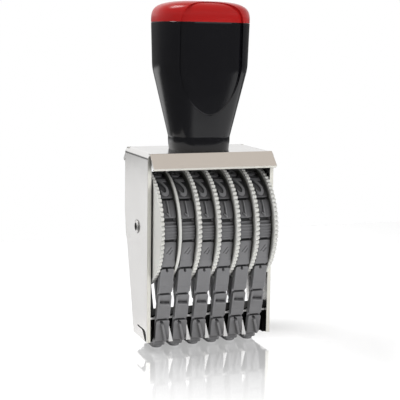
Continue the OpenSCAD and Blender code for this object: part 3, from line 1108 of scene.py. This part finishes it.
heights = [COLLAR_H + RING_STEP * j for j in range(1, int(BODY_H / RING_STEP))]
heights += [PANEL_FOOT + FOOT_STEP * j for j in range(1, 20) if j != SHARED_STEP]
body_levels = NECK_LEVELS + [(h, 1) for h in sorted(heights) if h < BODY_H - 2 * SEAM]
body_levels += [(BODY_H - SEAM, 1), (BODY_H, SEAM_SHARE)]
handle = make_loft("handle_grip", [skin_ring(h, k) for h, k in body_levels], BLACK,
                   "handle_body")
print("handle:", len(handle.data.vertices), "points")

# %% The red cap
CAP_H = HANDLE_TOP - CAP_Z
CAP_RINGS = 40
LAST_TURN = math.radians(89.5)

cap_levels = [(BODY_H, SEAM_SHARE), (BODY_H + SEAM, 1)]
for j in range(1, CAP_RINGS + 1):
    turn = LAST_TURN * j / CAP_RINGS
    cap_levels.append((BODY_H + SEAM + (CAP_H - SEAM) * math.sin(turn) ** (2 / CAP_POWER),
                       math.cos(turn) ** (2 / CAP_POWER)))
cap = make_loft("handle_red_cap", [skin_ring(h, k) for h, k in cap_levels], RED,
                "handle_cap")
print("cap:", len(cap.data.vertices), "points")

# %% [markdown]
# ## Floor and light
# The stamp stands on a white, slightly glossy table. The floor keeps the stamp's
# shadow and a faint reflection of its foot, and reads as white to the camera.
# Only a patch under and before the stamp is polished. It is measured along the
# camera's direction over the floor, and across it.

# %% Floor
LOOK_RIGHT = 0.36
LOOK_BACK = 0.93
TABLE = [(-0.13, -0.12), (-0.04, -0.31), (0.7, -0.31), (0.7, 0.30), (-0.20, 0.30),
         (-0.13, 0.05)]


def floor_finish():
    """White table with a polished patch and a little light of its own."""
    finish = Finish("white_table", Specular_IOR_Level=0.0)
    speck = finish.noise(30, 2)
    finish.feed("Base Color", finish.blend(speck, (0.90, 0.90, 0.90), (0.92, 0.92, 0.92)))
    right = finish.along("X")
    back = finish.along("Y")
    away = right * LOOK_RIGHT + back * LOOK_BACK
    across = right * LOOK_BACK - back * LOOK_RIGHT
    beside = across.maths("ABSOLUTE", across, 0)
    polish = ramp(away, -113 * MM, -46.333 * MM) * ramp(away, 30 * MM, -3.333 * MM)
    polish = polish * ramp(beside, 96 * MM, 56 * MM)
    finish.feed("Metallic", polish * 0.70)
    finish.feed("Roughness", 0.03 + speck * 0.04)
    seen = finish.node("LightPath", {}, {}, "Is Camera Ray")
    mirrored = finish.node("LightPath", {}, {}, "Is Glossy Ray")
    light = seen * (0.42 - polish * 0.06) + mirrored * 0.20
    glow = finish.node("Emission", {}, {"Strength": light})
    surface = Socket(finish.tree, finish.shader.outputs[0])
    both = finish.node("AddShader", {}, {0: surface, 1: glow})
    plug(finish.tree, finish.tree.nodes["Material Output"].inputs[0], both)
    return finish.material


def make_floor():
    """The table top, which only sets the stage."""
    mesh = bpy.data.meshes.new("table_top")
    mesh.from_pydata([(x, y, 0) for x, y in TABLE], [], [tuple(range(len(TABLE)))])
    mesh.materials.append(floor_finish())
    floor = bpy.data.objects.new("table_top", mesh)
    bpy.context.scene.collection.objects.link(floor)
    return floor


floor = make_floor()
print("floor:", floor.name)

# %% [markdown]
# The studio around the stamp answers each kind of ray in its own way. The camera
# sees pure white. A mirror sees a room that is dark low down and bright above,
# with a warm ceiling and one bright screen low at the back left. Everything else
# gets soft light, which is weaker from above.


# %% World
def make_world():
    """A studio whose light depends on the kind of ray and on its direction."""
    world = bpy.data.worlds.new("studio")
    world.use_nodes = True
    tree = world.node_tree
    background = tree.nodes["Background"]
    path = tree.nodes.new("ShaderNodeLightPath")
    where = tree.nodes.new("ShaderNodeTexCoord")
    split = tree.nodes.new("ShaderNodeSeparateXYZ")
    tree.links.new(where.outputs["Generated"], split.inputs[0])
    seen = Socket(tree, path.outputs["Is Camera Ray"])
    mirrored = Socket(tree, path.outputs["Is Glossy Ray"])
    right, back, up = (Socket(tree, split.outputs[axis]) for axis in "XYZ")
    ambient = 0.76 - ramp(up, 0, 0.5556) * 0.66
    overhead = ramp(up, 0.4, 0.9)
    sky = held(ramp(up, 0.03, 0.08) * ramp(back, -0.4, -0.0667) + ramp(up, 0.15, 0.275))
    screen = ramp(back, 0.7333, 0.9) * ramp(right, 0.05, -0.2)
    screen = screen * ramp(up, -0.085, -0.1183) * ramp(up, -0.2333, -0.2)
    mirror = (0.14 + held(sky + screen * 0.94) * 0.86) * (1 - overhead) + overhead * 0.70
    tint = tree.nodes.new("ShaderNodeMix")
    tint.data_type = "RGBA"
    plug(tree, tint.inputs[0], mirrored * overhead)
    plug(tree, tint.inputs[6], (1, 1, 1, 1))
    plug(tree, tint.inputs[7], (1, 0.91, 0.82, 1))
    tree.links.new(tint.outputs[2], background.inputs["Color"])
    plug(tree, background.inputs["Strength"],
         seen + mirrored * mirror + (1 - seen - mirrored) * ambient)
    bpy.context.scene.world = world
    return world


print("studio:", make_world().name)


# %% Lamps
def soft_box(name, place, aim, size, watts):
    """A rectangular lamp at a place, turned to face its aim."""
    lamp = bpy.data.lights.new(name, "AREA")
    lamp.shape = "RECTANGLE"
    lamp.size, lamp.size_y = size
    lamp.energy = watts
    obj = bpy.data.objects.new(name, lamp)
    obj.location = place
    obj.rotation_euler = (Vector(aim) - Vector(place)).to_track_quat("-Z", "Y").to_euler()
    bpy.context.scene.collection.objects.link(obj)
    return obj


key = soft_box("key_light", (-0.30, 0.20, 1.08), (0, 0, 0.09), (0.4, 0.4), watts=8)
fill = soft_box("fill_light", (0.5, -0.8, 0.08), (0, 0, 0.04), (0.4, 0.3), watts=3)
fill.visible_glossy = False
print("lamps:", key.name, fill.name)

# %% [markdown]
# ## Camera
# The camera looks from the front left and a little above, from about 54 cm away.

# %% Camera
YAW = math.radians(20.94)
PITCH_DOWN = math.radians(8.59)
ROLL = math.radians(0.83)
EYE = Vector((-0.1897, -0.4963, 0.15687))
FOCAL_PIXELS = 1000
FRAME_PIXELS = 400
SENSOR = 36


def make_camera():
    """The camera at EYE, turned by YAW, PITCH_DOWN and ROLL."""
    lens = bpy.data.cameras.new("camera")
    lens.sensor_width = SENSOR
    lens.lens = FOCAL_PIXELS / FRAME_PIXELS * SENSOR
    camera = bpy.data.objects.new("camera", lens)
    look = Vector((math.sin(YAW) * math.cos(PITCH_DOWN),
                   math.cos(YAW) * math.cos(PITCH_DOWN), -math.sin(PITCH_DOWN)))
    camera.rotation_euler = look.to_track_quat("-Z", "Y").to_euler()
    camera.rotation_euler.rotate_axis("Z", ROLL)
    camera.location = EYE
    bpy.context.scene.collection.objects.link(camera)
    bpy.context.scene.camera = camera
    return camera


camera = make_camera()
bpy.context.scene.view_settings.view_transform = "Standard"
print("camera at", [round(v, 3) for v in camera.location])
